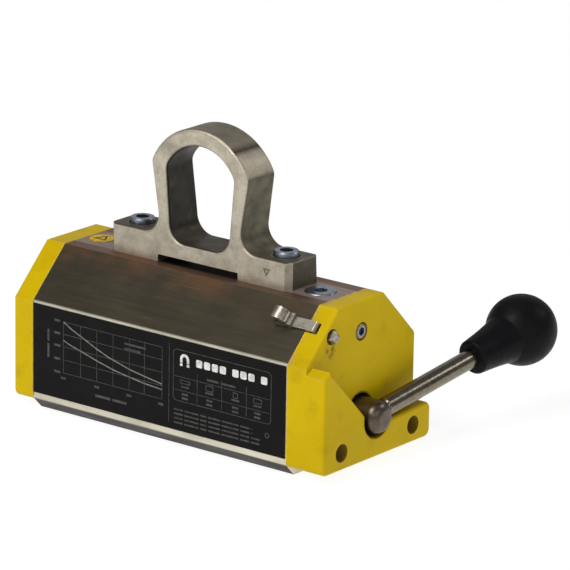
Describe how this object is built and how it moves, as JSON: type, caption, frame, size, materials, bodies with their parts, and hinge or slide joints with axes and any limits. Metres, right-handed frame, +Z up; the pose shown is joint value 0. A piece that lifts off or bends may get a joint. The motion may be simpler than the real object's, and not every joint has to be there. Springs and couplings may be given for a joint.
{
  "type": "permanent lifting magnet",
  "caption": "Switchable permanent lifting magnet with a cast hook eye, end covers, a hand lever that turns the magnet rotor and a sliding safety catch.",
  "frame": {"origin": "centre of the flat pole face that grips the load", "axes": "+X along the housing towards the lever, -Y out of the label side, +Z up towards the lifting eye"},
  "size_m": [0.2741, 0.2118, 0.1895],
  "materials": {
    "pole_steel": "milled and blued, satin",
    "bridge_steel": "milled, satin",
    "brass": "milled",
    "magnet_nickel": "nickel plated, ground",
    "yellow_paint": "semi-gloss powder coat",
    "bronze": "sintered",
    "seal_rubber": "matte",
    "zinc_screw": "bright zinc plated",
    "cast_eye": "shot-blasted casting",
    "marker_yellow": "printed",
    "label_black": "printed, satin",
    "rotor_steel": "turned",
    "shaft_steel": "ground",
    "hub_steel": "turned, satin zinc",
    "rod_steel": "satin ground",
    "knob_black": "moulded, semi-gloss",
    "catch_zinc": "zinc plated",
    "spring_steel": "wire"
  },
  "bodies": {
    "housing": {"front_pole": "pole_steel", "rear_pole": "pole_steel", "top_bridge": "bridge_steel", "lower_separator": "brass", "stator_magnets": "magnet_nickel", "magnet_retainer": "brass", "left_cover": "yellow_paint", "right_cover": "yellow_paint", "left_bush": "bronze", "right_bush": "bronze", "shaft_seal": "seal_rubber", "thrust_washers": "bronze", "left_cover_screws": "zinc_screw", "right_cover_screws": "zinc_screw", "lifting_eye": "cast_eye", "eye_screws": "zinc_screw", "top_plug": "zinc_screw", "marker_disc": "marker_yellow", "front_label_plate": "label_black", "rear_label_plate": "label_black", "catch_spring": "spring_steel"},
    "rotor": {"rotor_core_front": "rotor_steel", "rotor_core_rear": "rotor_steel", "rotor_magnets": "magnet_nickel", "rotor_strips": "brass", "drive_shaft": "shaft_steel", "idler_shaft": "shaft_steel", "rotor_screws": "zinc_screw", "lever_hub": "hub_steel", "hub_pin": "shaft_steel", "lever_pivot_pin": "shaft_steel"},
    "lever": {"lever_rod": "rod_steel", "lever_knob": "knob_black", "knob_insert": "brass"},
    "catch": {"catch_bar": "catch_zinc", "catch_bolt": "catch_zinc"}
  },
  "joints": [
    {"name": "lever_turn", "type": "hinge", "parent": "housing", "child": "rotor", "pos_m": [0.1228, 0, 0.031], "axis": [1, 0, 0], "range_deg": [0, 124.2]},
    {"name": "lever_tilt", "type": "hinge", "parent": "rotor", "child": "lever", "pos_m": [0.1228, 0, 0.031], "axis": [0, -0.1788, 0.9839], "range_deg": [0, 5.5]},
    {"name": "catch_slide", "type": "slide", "parent": "housing", "child": "catch", "axis": [-1, 0, 0], "range_m": [0, 0.006], "stiffness_N_per_m": 500, "springref_m": -0.004, "deforming": ["catch_spring"]}
  ]
}
